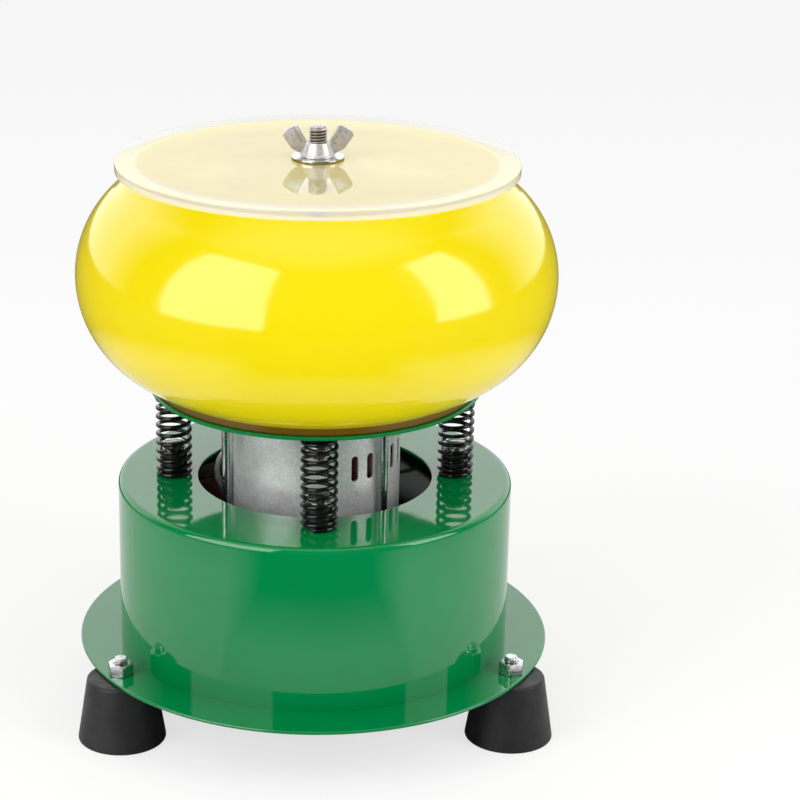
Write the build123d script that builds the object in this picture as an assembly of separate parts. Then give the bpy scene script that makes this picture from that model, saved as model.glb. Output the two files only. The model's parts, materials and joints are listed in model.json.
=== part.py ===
from build123d import *
from math import atan2, cos, degrees, radians, sin, sqrt
import os

# Vibratory rock tumbler with a ring-shaped bowl, in millimetres.
# Origin: on the drum's axis, in the plane of the three foot bottoms. +Z is up, -Y is the front.
# From the ground up: three rubber feet, a flange with a drum welded on it, four coil springs on the
# drum's deck, and a vibrating frame. The frame is a plate with a motor below and a bowl above it. The
# motor turns an off-centre weight, so the whole frame shakes on the springs.

# ---------------------------------------------------------------- base
FOOT_HEIGHT = 28.3
FOOT_BOTTOM_R = 18.9
FOOT_TOP_R = 14.2
FOOT_CIRCLE_R = 96.0
FOOT_ANGLES = {"left": 210, "right": 330, "rear": 90}
FOOT_RECESS_R = 9.0           # open recess in the foot's underside
FOOT_RECESS_DEPTH = 8.0
FOOT_POCKET_R = 8.2           # narrower pocket above it, for the bolt head and its washer
FOOT_POCKET_TOP = 13.8

FLANGE_R = 103.0
FLANGE_OPENING_R = 70.0
FLANGE_T = 1.4
FLANGE_TOP = FOOT_HEIGHT + FLANGE_T

DRUM_R = 85.3
DRUM_T = 1.5
DRUM_TOP = 102.3
DRUM_EDGE_R = 2.4             # outer bend between the wall and the deck
DECK_HOLE_R = 50.8            # the motor hangs through this hole
CORD_ANGLE = 62               # where the power cord leaves the drum, degrees from +X
CORD_HEIGHT = 50.0
CORD_HOLE_R = 5.6

# ---------------------------------------------------------------- springs and their seats
SPRING_CIRCLE_R = 61.0
SPRING_ANGLES = {"right": 0, "rear": 90, "left": 180, "front": 270}
SPRING_WIRE_R = 0.9
SPRING_MEAN_R = 6.95
SPRING_TURNS = 10.0
LOWER_SEAT_R = 5.7
LOWER_SEAT_HEIGHT = 11.0
UPPER_SEAT_HEIGHT = 5.0
SEAT_SCREW_R = 2.5            # M5
SEAT_BORE_R = 2.6

# ---------------------------------------------------------------- vibrating frame
PLATE_R = 70.9
PLATE_BOTTOM = 143.5
PLATE_TOP = 145.0
SCREW_HEAD_R = 4.0            # flat-headed screws, flush with the plate

BOWL_R = 101.6                # an eight-inch bowl
BOWL_RING_R = 54.25           # radius of the circle that the tube's centre runs on
BOWL_TUBE_R = BOWL_R - BOWL_RING_R
BOWL_CENTRE_Z = 193.35
BOWL_WALL = 7.0
BOWL_SEAT_R = (44.0, 69.5)    # flat moulded foot ring that stands on the plate
BOWL_CREASE_R = 84.0          # the round side turns into the straight lip here
BOWL_RIM_Z = 238.0
BOWL_RIM_R = (75.4, 77.6)     # flat land that the lid lies on
BOWL_COLUMN_TOP = 205.0       # hollow column in the bowl's middle
BOWL_COLUMN_R = 14.2
BOWL_COLUMN_EDGE_R = 12.6
BOWL_COLUMN_WALL = 7.0
BOWL_HOLLOW_R = 10.0

LID_R = 84.3
LID_T = 4.0
LID_TOP = BOWL_RIM_Z + LID_T
LID_HOLE_R = 4.4

ROD_R = 3.98                  # M8
ROD_BORE_R = 4.03             # a plain bore that stands for the M8 thread
ROD_BOTTOM = 135.0
ROD_TIP = 257.0
M8_NUT_FLATS = 13.0
M8_NUT_HEIGHT = 6.5
LID_WASHER_R = 11.0
LID_WASHER_T = 1.5

# ---------------------------------------------------------------- motor
CAN_R = 36.8
CAN_T = 0.8
CAN_BOTTOM = 67.0
VENT_SIZE = (3.3, 11.4)       # width and height of one slot
VENT_Z = 117.0
VENT_FIRST_ANGLE = -64.5      # degrees from +X
VENT_STEP = 12.0
VENTS_PER_SIDE = 6
LEAD_ANGLE = 167              # hole for the motor's leads
LEAD_HOLE_Z = 112.0
LEAD_HOLE_R = 3.2
LEAD_WIRE_R = 0.8

TIE_ROD_R = 1.75
TIE_CIRCLE_R = 40.0
TIE_ANGLES = (195, 315, 75)
TIE_ROD_BOTTOM = 59.5

STATOR_Z = (82.0, 110.0)
STATOR_BORE_R = 20.1
WINDING_R = (24.5, 32.5)
WINDING_OVERHANG = 11.5
STATOR_SLOTS = 12

SHAFT_R = 3.98
SHAFT_BORE_R = 4.0
SHAFT_Z = (40.5, 128.0)
BEARING_R = 11.0
BEARING_WIDTH = 7.0
BEARING_BOTTOMS = (59.5, 121.5)
BALL_R = 1.98
BALL_CIRCLE_R = 7.5
BALLS = 7
WEIGHT_Z = (43.0, 56.0)
WEIGHT_R = 30.0

# ---------------------------------------------------------------- capacitor, cord and plug
CAPACITOR_ANGLE = 126
CAPACITOR_OUTER = 80.0        # how far the capacitor's flat back is from the drum's axis
CAPACITOR_Z = 70.0
CORD_R = 3.0
PLUG_LENGTH = 38.0
PLUG_WIDTH = 26.0
PLUG_HEIGHT = 18.0
BLADE_SPACING = 12.7
BLADE_SIZE = (17.0, 1.5, 6.3)
GROUND_GAP = 0.6              # the cord and plug hang just clear of the feet's plane
CORD_DIRECTION = (cos(radians(CORD_ANGLE)), sin(radians(CORD_ANGLE)), 0)
LANDING_DIRECTION = (0.25, 1, 0)

FREE = 0.05                   # gap between pieces that slide or bolt together


# ---------------------------------------------------------------- helpers
def spot(radius, angle, z=0.0):
    """The location at a radius and an angle in degrees about the drum's axis."""
    return Location((radius * cos(radians(angle)), radius * sin(radians(angle)), z))


def disc(radius, z0, z1):
    return Pos(0, 0, (z0 + z1) / 2) * Cylinder(radius, z1 - z0)


def ring(inner, outer, z0, z1):
    return disc(outer, z0, z1) - disc(inner, z0 - 1, z1 + 1)


def turned(points):
    """The solid of revolution about Z of a closed outline of (radius, height) points."""
    outline = Plane.XZ * Polyline(*points, close=True)
    return revolve(make_face(outline), Axis.Z)


def hex_prism(flats, z0, z1, edge=0.6):
    """A hexagonal bar whose corners are cut back at both ends, as on a nut."""
    corner_r = flats / sqrt(3)
    bar = Pos(0, 0, z0) * extrude(RegularPolygon(corner_r, 6), z1 - z0)
    blank = chamfer(disc(corner_r, z0, z1).edges(), edge)
    return bar & blank


def hex_nut(flats, bore, z0, z1):
    return hex_prism(flats, z0, z1) - disc(bore, z0 - 1, z1 + 1)


def round_ring_points(inner, outer, z0, z1, edge):
    """An outline for a washer or ring whose outer edges are cut back."""
    return [(inner, z0), (outer - edge, z0), (outer, z0 + edge),
            (outer, z1 - edge), (outer - edge, z1), (inner, z1)]


def group(solids):
    """Separate solids of one kind, kept apart in one node."""
    return Compound([item for solid in solids for item in solid.solids()])


def torus_height(radius, tube_r):
    """Half the height of a ring of this tube radius, at a distance from the bowl's axis."""
    return sqrt(tube_r**2 - (radius - BOWL_RING_R) ** 2)


# ---------------------------------------------------------------- base pieces
def base_drum():
    """Sheet-metal drum, open below, with a deck that carries the springs."""
    outside = disc(DRUM_R, FLANGE_TOP, DRUM_TOP)
    outside = fillet(outside.edges().group_by(Axis.Z)[-1], DRUM_EDGE_R)
    inside = disc(DRUM_R - DRUM_T, FLANGE_TOP - 1, DRUM_TOP - DRUM_T)
    inside = fillet(inside.edges().group_by(Axis.Z)[-1], DRUM_EDGE_R - DRUM_T)
    drum = outside - inside - disc(DECK_HOLE_R, DRUM_TOP - 5, DRUM_TOP + 1)
    for angle in SPRING_ANGLES.values():
        drum -= spot(SPRING_CIRCLE_R, angle, DRUM_TOP) * Cylinder(SEAT_BORE_R, 10)
    cord_hole = Rot(0, 0, CORD_ANGLE) * Pos(DRUM_R, 0, CORD_HEIGHT) * Rot(0, 90, 0)
    return drum - cord_hole * Cylinder(CORD_HOLE_R, 10)


def base_flange():
    flange = turned(round_ring_points(FLANGE_OPENING_R, FLANGE_R, FOOT_HEIGHT, FLANGE_TOP, 0.4))
    for angle in FOOT_ANGLES.values():
        flange -= spot(FOOT_CIRCLE_R, angle, FOOT_HEIGHT) * Cylinder(3.2, 10)
    return flange


def foot(angle):
    """Tapered rubber foot, recessed underneath so that the bolt head stays off the bench."""
    body = turned([(0, 0), (FOOT_BOTTOM_R - 0.8, 0), (FOOT_BOTTOM_R, 0.8), (FOOT_TOP_R + 0.3, FOOT_HEIGHT - 1.2),
                   (FOOT_TOP_R - 0.8, FOOT_HEIGHT), (0, FOOT_HEIGHT)])
    body -= disc(FOOT_RECESS_R, -1, FOOT_RECESS_DEPTH)
    body -= disc(FOOT_POCKET_R, FOOT_RECESS_DEPTH - 1, FOOT_POCKET_TOP)
    body -= disc(3.1, 0, FOOT_HEIGHT + 1)
    return spot(FOOT_CIRCLE_R, angle) * body


FOOT_WASHER_T = 1.2
FOOT_HEAD_T = 4.0


def foot_washer(angle):
    washer = ring(3.1, 8.0, FOOT_POCKET_TOP - FOOT_WASHER_T, FOOT_POCKET_TOP)
    return spot(FOOT_CIRCLE_R, angle) * washer


def foot_bolt(angle):
    """M6 hexagon bolt from below, whose end stands a little out of the nut."""
    seat = FOOT_POCKET_TOP - FOOT_WASHER_T
    shank = chamfer(disc(2.95, seat, FLANGE_TOP + 7.4).edges().group_by(Axis.Z)[-1], 0.7)
    return spot(FOOT_CIRCLE_R, angle) * (hex_prism(10.0, seat - FOOT_HEAD_T, seat) + shank)


def foot_nut(angle):
    return spot(FOOT_CIRCLE_R, angle) * hex_nut(10.0, 3.0, FLANGE_TOP, FLANGE_TOP + 5.0)


# ---------------------------------------------------------------- springs and seats
def coil_spring(angle):
    """Compression spring between the deck and the plate."""
    gap = 0.03
    wire_rise = PLATE_BOTTOM - DRUM_TOP - 2 * SPRING_WIRE_R - 2 * gap
    path = Helix(wire_rise / SPRING_TURNS, wire_rise, SPRING_MEAN_R)
    wire = sweep(Plane(path @ 0, z_dir=path % 0) * Circle(SPRING_WIRE_R), path, is_frenet=True)
    return spot(SPRING_CIRCLE_R, angle, DRUM_TOP + SPRING_WIRE_R + gap) * wire


LOWER_SEAT_TOP = DRUM_TOP + LOWER_SEAT_HEIGHT
UPPER_SEAT_BOTTOM = PLATE_BOTTOM - UPPER_SEAT_HEIGHT
SEAT_WASHER_R = 5.0
SEAT_WASHER_T = 1.0


def lower_seat(angle):
    """Bush that fills the spring's lower end and keeps it in place."""
    bush = ring(SEAT_BORE_R, LOWER_SEAT_R, DRUM_TOP, LOWER_SEAT_TOP)
    bush = chamfer(bush.edges().group_by(Axis.Z)[-1], 0.6)
    return spot(SPRING_CIRCLE_R, angle) * bush


def lower_washer(angle):
    return spot(SPRING_CIRCLE_R, angle) * ring(SEAT_BORE_R, SEAT_WASHER_R, LOWER_SEAT_TOP,
                                               LOWER_SEAT_TOP + SEAT_WASHER_T)


def lower_bolt(angle):
    """M5 bolt from above, through the bush and the deck."""
    seat = LOWER_SEAT_TOP + SEAT_WASHER_T
    shank = disc(SEAT_SCREW_R, DRUM_TOP - DRUM_T - 5.5, seat)
    return spot(SPRING_CIRCLE_R, angle) * (hex_prism(8.0, seat, seat + 3.4, 0.5) + shank)


def lower_nut(angle):
    deck_bottom = DRUM_TOP - DRUM_T
    return spot(SPRING_CIRCLE_R, angle) * hex_nut(8.0, SEAT_SCREW_R + FREE, deck_bottom - 4.0, deck_bottom)


def upper_seat(angle):
    bush = ring(SEAT_BORE_R, LOWER_SEAT_R, UPPER_SEAT_BOTTOM, PLATE_BOTTOM)
    bush = chamfer(bush.edges().group_by(Axis.Z)[0], 0.6)
    return spot(SPRING_CIRCLE_R, angle) * bush


def screw_head(gap):
    """The flat head's cone, from the plate's top to its underside."""
    return turned([(0, PLATE_BOTTOM), (SEAT_SCREW_R + gap, PLATE_BOTTOM), (SCREW_HEAD_R + gap, PLATE_TOP),
                   (0, PLATE_TOP)])


def upper_screw(angle):
    """M5 flat-headed screw from the plate's top, down through the bush."""
    return spot(SPRING_CIRCLE_R, angle) * (screw_head(0) + disc(SEAT_SCREW_R, 132.0, PLATE_BOTTOM))


def upper_washer(angle):
    return spot(SPRING_CIRCLE_R, angle) * ring(SEAT_BORE_R, SEAT_WASHER_R, UPPER_SEAT_BOTTOM - SEAT_WASHER_T,
                                               UPPER_SEAT_BOTTOM)


def upper_nut(angle):
    top = UPPER_SEAT_BOTTOM - SEAT_WASHER_T
    return spot(SPRING_CIRCLE_R, angle) * hex_nut(8.0, SEAT_SCREW_R + FREE, top - 4.0, top)


# ---------------------------------------------------------------- vibrating frame
def support_plate():
    plate = turned(round_ring_points(ROD_R + 0.2, PLATE_R, PLATE_BOTTOM, PLATE_TOP, 0.35))
    for angle in SPRING_ANGLES.values():
        plate -= spot(SPRING_CIRCLE_R, angle) * screw_head(FREE)
    return plate


def bowl():
    """Moulded ring-shaped bowl: a round tube, open at the top inside the rim, with a hollow column."""
    centre = (BOWL_RING_R, BOWL_CENTRE_Z)
    cavity_r = BOWL_TUBE_R - BOWL_WALL
    seat_in, seat_out = BOWL_SEAT_R
    rim_in, rim_out = BOWL_RIM_R

    def on_tube(tube_r, angle):
        """A point on a circle about the tube's centre, degrees from straight out."""
        return (centre[0] + tube_r * cos(radians(angle)), centre[1] + tube_r * sin(radians(angle)))

    def angle_at(tube_r, radius, above):
        rise = torus_height(radius, tube_r)
        return degrees(atan2(rise if above else -rise, radius - BOWL_RING_R))

    def arc(tube_r, start, end):
        return ThreePointArc(on_tube(tube_r, start), on_tube(tube_r, (start + end) / 2), on_tube(tube_r, end))

    crease = angle_at(BOWL_TUBE_R, BOWL_CREASE_R, True)
    seat_side = angle_at(BOWL_TUBE_R, seat_out, False)
    outer_side = arc(BOWL_TUBE_R, seat_side, crease)
    cavity_start = angle_at(cavity_r, rim_in, True)
    column_side = angle_at(cavity_r, BOWL_COLUMN_R + 1.4, False)
    cavity = arc(cavity_r, cavity_start, column_side)
    hollow_side = angle_at(BOWL_TUBE_R, BOWL_HOLLOW_R, False)
    hollow_seat = angle_at(BOWL_TUBE_R, seat_in, False)
    underside = arc(BOWL_TUBE_R, hollow_side, hollow_seat)

    column_foot = on_tube(cavity_r, column_side)
    shoulder_z = BOWL_COLUMN_TOP - 2.2
    column_mid = (BOWL_COLUMN_R + 0.25, (column_foot[1] + shoulder_z) / 2)
    column = ThreePointArc(column_foot, column_mid, (BOWL_COLUMN_R, shoulder_z))
    shoulder = ThreePointArc((BOWL_COLUMN_R, shoulder_z), (BOWL_COLUMN_R - 0.45, BOWL_COLUMN_TOP - 0.6),
                             (BOWL_COLUMN_EDGE_R, BOWL_COLUMN_TOP))
    hole_r = ROD_R + 0.4
    ceiling = BOWL_COLUMN_TOP - BOWL_COLUMN_WALL
    top = Polyline((BOWL_COLUMN_EDGE_R, BOWL_COLUMN_TOP), (hole_r, BOWL_COLUMN_TOP), (hole_r, ceiling),
                   (BOWL_HOLLOW_R, ceiling), on_tube(BOWL_TUBE_R, hollow_side))
    seat = Polyline(on_tube(BOWL_TUBE_R, hollow_seat), (seat_in, PLATE_TOP), (seat_out, PLATE_TOP),
                    on_tube(BOWL_TUBE_R, seat_side))
    lip = Polyline(on_tube(BOWL_TUBE_R, crease), (rim_out, BOWL_RIM_Z - 0.9), (rim_out - 0.7, BOWL_RIM_Z),
                   (rim_in, BOWL_RIM_Z), on_tube(cavity_r, cavity_start))
    outline = Plane.XZ * make_face([*outer_side.edges(), *lip.edges(), *cavity.edges(), *column.edges(),
                                    *shoulder.edges(), *top.edges(), *underside.edges(), *seat.edges()])
    return revolve(outline, Axis.Z)


def bowl_washer():
    return turned(round_ring_points(ROD_R + 0.3, 12.0, BOWL_COLUMN_TOP, BOWL_COLUMN_TOP + 1.6, 0.3))


def bowl_nut():
    base = BOWL_COLUMN_TOP + 1.6
    return hex_nut(M8_NUT_FLATS, ROD_BORE_R, base, base + M8_NUT_HEIGHT)


def center_rod():
    """M8 rod from below the plate, through bowl and lid, with a rounded tip."""
    rod = disc(ROD_R, ROD_BOTTOM, ROD_TIP)
    rod = fillet(rod.edges().group_by(Axis.Z)[-1], 1.8)
    return chamfer(rod.edges().group_by(Axis.Z)[0], 0.7)


def rod_base_nuts():
    """One nut above the plate and one below, which hold the rod upright."""
    above = hex_nut(M8_NUT_FLATS, ROD_BORE_R, PLATE_TOP, PLATE_TOP + M8_NUT_HEIGHT)
    below = hex_nut(M8_NUT_FLATS, ROD_BORE_R, PLATE_BOTTOM - M8_NUT_HEIGHT, PLATE_BOTTOM)
    return group([above, below])


# ---------------------------------------------------------------- motor
def vent_cutter():
    """One round-ended slot, cut through the wall along local X."""
    width, height = VENT_SIZE
    return extrude(Plane.YZ * Rot(0, 0, 90) * SlotOverall(height, width), 3, both=True)


def motor_can():
    """Thin sheet can, open below, with round-ended ventilation slots in two groups."""
    can = ring(CAN_R - CAN_T, CAN_R, CAN_BOTTOM, PLATE_BOTTOM)
    can += ring(28.0, CAN_R - CAN_T / 2, PLATE_BOTTOM - CAN_T, PLATE_BOTTOM)
    for side in (0, 180):
        for n in range(VENTS_PER_SIDE):
            angle = VENT_FIRST_ANGLE + side + n * VENT_STEP
            can -= Rot(0, 0, angle) * Pos(CAN_R, 0, VENT_Z) * vent_cutter()
    lead_hole = Rot(0, 0, LEAD_ANGLE) * Pos(CAN_R, 0, LEAD_HOLE_Z) * Rot(0, 90, 0)
    return can - lead_hole * Cylinder(LEAD_HOLE_R, 6)


def motor_top_bell():
    """Upper end bell inside the can. Its boss holds the upper bearing from above."""
    bottom = BEARING_BOTTOMS[1]
    pocket_top = bottom + BEARING_WIDTH
    bell = disc(CAN_R - CAN_T - FREE, pocket_top, pocket_top + 3) + disc(BEARING_R + 2.5, bottom, pocket_top + 1)
    return bell - disc(BEARING_R + 0.02, bottom - 1, pocket_top)


def motor_bottom_bell():
    """Lower end bell, which closes the can and has three ears for the tie rods."""
    bottom = BEARING_BOTTOMS[0]
    plate_bottom = CAN_BOTTOM - 3
    bell = disc(CAN_R, plate_bottom, CAN_BOTTOM) + disc(BEARING_R + 2.5, bottom - 2, CAN_BOTTOM)
    for angle in TIE_ANGLES:
        bell += spot(TIE_CIRCLE_R, angle, CAN_BOTTOM - 1.5) * Cylinder(4.5, 3)
    for angle in TIE_ANGLES:
        bell -= spot(TIE_CIRCLE_R, angle, CAN_BOTTOM) * Cylinder(TIE_ROD_R + 0.2, 20)
    bell -= disc(BEARING_R + 0.02, bottom, CAN_BOTTOM + 1)
    return bell - disc(5.4, bottom - 3, bottom + 1)


def tie_rod(angle):
    """Long stud, welded to the plate, beside the can."""
    return spot(TIE_CIRCLE_R, angle) * disc(TIE_ROD_R, TIE_ROD_BOTTOM, PLATE_BOTTOM)


def tie_nut(angle):
    top = CAN_BOTTOM - 3
    return spot(TIE_CIRCLE_R, angle) * hex_nut(7.0, TIE_ROD_R + FREE, top - 3.2, top)


def winding_bar(width, inner, outer, z0, z1):
    """One block in a stator slot, along +X."""
    return Pos((inner + outer) / 2, 0, (z0 + z1) / 2) * Box(outer - inner, width, z1 - z0)


def stator_core():
    bottom, top = STATOR_Z
    core = ring(STATOR_BORE_R, CAN_R - CAN_T - FREE, bottom, top)
    slot = winding_bar(5.0, WINDING_R[0] - 0.5, WINDING_R[1] + 0.5, bottom - 1, top + 1)
    for n in range(STATOR_SLOTS):
        core -= Rot(0, 0, n * 360 / STATOR_SLOTS) * slot
    return core


def stator_windings():
    """Coil heads above and below the core, joined by the coil sides in the slots."""
    bottom, top = STATOR_Z
    gap = 0.3
    windings = ring(*WINDING_R, top + gap, top + WINDING_OVERHANG)
    windings = fillet(windings.edges().group_by(Axis.Z)[-1], 2.5)
    lower = ring(*WINDING_R, bottom - WINDING_OVERHANG, bottom - gap)
    windings += fillet(lower.edges().group_by(Axis.Z)[0], 2.5)
    side = winding_bar(4.4, WINDING_R[0] + 0.3, WINDING_R[1] - 0.3, bottom - 1, top + 1)
    for n in range(STATOR_SLOTS):
        windings += Rot(0, 0, n * 360 / STATOR_SLOTS) * side
    return windings


def bearing_outer_ring(bottom):
    return ring(BALL_CIRCLE_R + 2.0, BEARING_R, bottom, bottom + BEARING_WIDTH)


def bearing_inner_ring(bottom):
    return ring(SHAFT_BORE_R, BALL_CIRCLE_R - 2.0, bottom, bottom + BEARING_WIDTH)


def bearing_balls(bottom):
    middle = bottom + BEARING_WIDTH / 2
    return [spot(BALL_CIRCLE_R, n * 360 / BALLS, middle) * Sphere(BALL_R) for n in range(BALLS)]


def wire_to_splice(points, start_direction, side, level):
    """A thin wire through the points that ends in the splice, on one side and level of its axis."""
    across = 0.95 * side
    path = Spline(*points, splice_point(-20.0, across, 4.0 * level), splice_point(-9.0, across, 1.1 * level),
                  tangents=(start_direction, CORD_DIRECTION))
    return sweep(Plane(path @ 0, z_dir=path % 0) * Circle(LEAD_WIRE_R), path)


def motor_leads():
    """Two insulated wires from the coil heads, out through the can and down to the splice."""
    outward = (cos(radians(LEAD_ANGLE)), sin(radians(LEAD_ANGLE)), -0.2)
    wires = []
    for side in (-1, 1):
        stations = [(33.6, LEAD_ANGLE, LEAD_HOLE_Z + 0.6), (38.5, LEAD_ANGLE, LEAD_HOLE_Z - 0.8),
                    (43.4, LEAD_ANGLE - 1, LEAD_HOLE_Z - 7), (45.5, 152, 90), (46.0, 110, 64)]
        points = [spot(radius, angle + degrees(1.2 * side / radius), z).position for radius, angle, z in stations]
        wires.append(wire_to_splice(points, outward, side, 1))
    return group(wires)


# ---------------------------------------------------------------- rotor
def motor_shaft():
    return chamfer(disc(SHAFT_R, *SHAFT_Z).edges(), 0.4)


def rotor_core():
    """Laminated core with a cast ring and fins at each end."""
    bottom, top = STATOR_Z
    core = disc(STATOR_BORE_R - 0.5, bottom, top) + ring(11.0, 18.0, bottom - 4, top + 4)
    fin = Pos(14.5, 0, (bottom + top) / 2) * Box(6.0, 1.4, top - bottom + 14)
    for n in range(8):
        core += Rot(0, 0, n * 45) * fin
    return core - disc(SHAFT_BORE_R, bottom - 8, top + 8)


def eccentric_weight():
    """Half-moon steel weight with a clamping hub, all on one side of the shaft."""
    bottom, top = WEIGHT_Z
    half = disc(WEIGHT_R, bottom, top) & (Pos(0, -WEIGHT_R, (bottom + top) / 2) * Box(80, 2 * WEIGHT_R, 40))
    weight = half + disc(9.0, bottom, top)
    weight -= Rot(0, 0, 90) * Pos(0, 0, (bottom + top) / 2) * Rot(0, 90, 0) * Pos(0, 0, 6) * Cylinder(2.5 + FREE, 12)
    return weight - disc(SHAFT_BORE_R, bottom - 1, top + 1)


def weight_set_screw():
    """Grub screw in the hub, bearing on the shaft."""
    middle = sum(WEIGHT_Z) / 2
    length = 5.0
    screw = Cylinder(2.5, length) - Pos(0, 0, length / 2) * extrude(RegularPolygon(1.4, 6), -2.2)
    return Pos(0, SHAFT_R + FREE + length / 2, middle) * Rot(-90, 0, 0) * screw


# ---------------------------------------------------------------- lid and its fasteners
def lid():
    """Clear disc over the bowl's mouth."""
    return turned(round_ring_points(LID_HOLE_R, LID_R, BOWL_RIM_Z, LID_TOP, 0.4))


def lid_washer():
    return turned(round_ring_points(ROD_R + 0.3, LID_WASHER_R, LID_TOP, LID_TOP + LID_WASHER_T, 0.3))


def wing_nut():
    """M8 wing nut: a conical hub with two flat ears that lean outwards."""
    base = LID_TOP + LID_WASHER_T
    hub = turned([(0, base), (7.35, base), (7.35, base + 1.0), (4.95, base + 6.0), (0, base + 6.0)])
    inner_top = (8.9, base + 13.7)
    outer_tip = (15.5, base + 9.6)
    ear = make_face(Polyline((3.0, base + 3.0), inner_top, outer_tip, (11.0, base + 3.0), (7.4, base + 0.5),
                             (5.0, base + 0.5), close=True))
    ear = fillet(ear.vertices().sort_by_distance(inner_top)[0], 0.9)
    ear = fillet(ear.vertices().sort_by_distance(outer_tip)[0], 2.0)
    plate = extrude(Plane.XZ * ear, 0.65, both=True)
    nut = hub + plate + Rot(0, 0, 180) * plate
    return nut - disc(ROD_BORE_R, base - 1, base + 15)


# ---------------------------------------------------------------- cord
def splice_point(along, across=0.0, up=0.0):
    """A point near the splice: along the cord's line out of the drum, across it, and up."""
    radius = 66.0 + along
    angle = radians(CORD_ANGLE)
    return (radius * cos(angle) - across * sin(angle), radius * sin(angle) + across * cos(angle), CORD_HEIGHT + up)


def along_cord(radius):
    """The location on the cord's line out of the drum, with local Z along the cord."""
    return Rot(0, 0, CORD_ANGLE) * Pos(radius, 0, CORD_HEIGHT) * Rot(0, 90, 0)


def cord_grommet():
    """Rubber grommet that grips the drum's wall around the cord."""
    length = 9.0
    body = Cylinder(CORD_HOLE_R + 2.2, length) - Cylinder(CORD_R + 0.1, length + 2)
    groove = Cylinder(CORD_HOLE_R + 4, DRUM_T + 0.9) - Cylinder(CORD_HOLE_R - 0.1, DRUM_T + 2)
    return along_cord(DRUM_R - DRUM_T / 2 - 0.1) * (body - groove)


def cord_splice():
    """Sleeve inside the drum, where the motor's leads meet the cord."""
    length = 22.0
    sleeve = Cylinder(CORD_R + 1.0, length) - Cylinder(CORD_R + 0.1, length + 2)
    return along_cord(64.0) * sleeve


def power_cord():
    """Straight out of the drum, over the flange, down to the bench and round behind the tumbler."""
    low = CORD_R + GROUND_GAP
    outside = splice_point(30.0)
    straight = Line(splice_point(2.0), outside)
    landing = splice_point(77.0, -6.0, low - CORD_HEIGHT)
    drop = Spline(outside, splice_point(51.0, -1.0, -15.0), landing, tangents=(CORD_DIRECTION, LANDING_DIRECTION))
    near_plug = (-46.0, 196.0, low)
    trail = Spline(landing, (44.0, 158.0, low), (-14.0, 166.0, low), near_plug,
                   tangents=(LANDING_DIRECTION, (0.1, 1, 0)))
    rise = Spline(near_plug, plug_back(), tangents=((0.1, 1, 0), (1, 0, 0)))
    path = Wire([straight.edge(), drop.edge(), trail.edge(), rise.edge()])
    return sweep(Plane(path @ 0, z_dir=path % 0) * Circle(CORD_R), path)


def plug_back():
    return (-8.0, 218.0, GROUND_GAP + PLUG_HEIGHT / 2)


def power_plug():
    """Moulded plug body, rounded towards the cord."""
    body = Box(PLUG_LENGTH, PLUG_WIDTH, PLUG_HEIGHT)
    body = fillet(body.edges().filter_by(Axis.X), 4.0)
    body = fillet(body.edges().group_by(Axis.X)[0], 3.0)
    return Location(plug_back()) * Pos(PLUG_LENGTH / 2, 0, 0) * body


def plug_blade(side):
    length = BLADE_SIZE[0]
    return Location(plug_back()) * Pos(PLUG_LENGTH + length / 2, side * BLADE_SPACING / 2, 0) * Box(*BLADE_SIZE)


# ---------------------------------------------------------------- capacitor
def capacitor_block(inner, outer, width, height):
    """A block on the drum's inner wall, between two distances from the axis."""
    place = Rot(0, 0, CAPACITOR_ANGLE) * Pos((inner + outer) / 2, 0, CAPACITOR_Z)
    return place * Box(outer - inner, width, height)


def run_capacitor():
    body = capacitor_block(CAPACITOR_OUTER - 16.0, CAPACITOR_OUTER, 34.0, 25.0)
    return fillet(body.edges(), 1.5)


def capacitor_pad():
    """Sticky foam pad between the capacitor and the drum's curved wall."""
    pad = capacitor_block(CAPACITOR_OUTER, DRUM_R, 28.0, 20.0)
    return pad & disc(DRUM_R - DRUM_T, 0, DRUM_TOP)


def capacitor_leads():
    """Two wires from the capacitor's underside to the splice."""
    wires = []
    for side in (-1, 1):
        stations = [(72.0, 4 * side, CAPACITOR_Z - 12.6), (71.0, 4 * side - 2, CAPACITOR_Z - 19.0),
                    (64.0, 4 * side - 26, 42.0)]
        points = [spot(radius, CAPACITOR_ANGLE + turn, z).position for radius, turn, z in stations]
        wires.append(wire_to_splice(points, (0, 0, -1), side, -1))
    return group(wires)


# ---------------------------------------------------------------- all nodes
def all_feet(piece):
    return group([piece(angle) for angle in FOOT_ANGLES.values()])


def all_springs(piece):
    return group([piece(angle) for angle in SPRING_ANGLES.values()])


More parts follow.
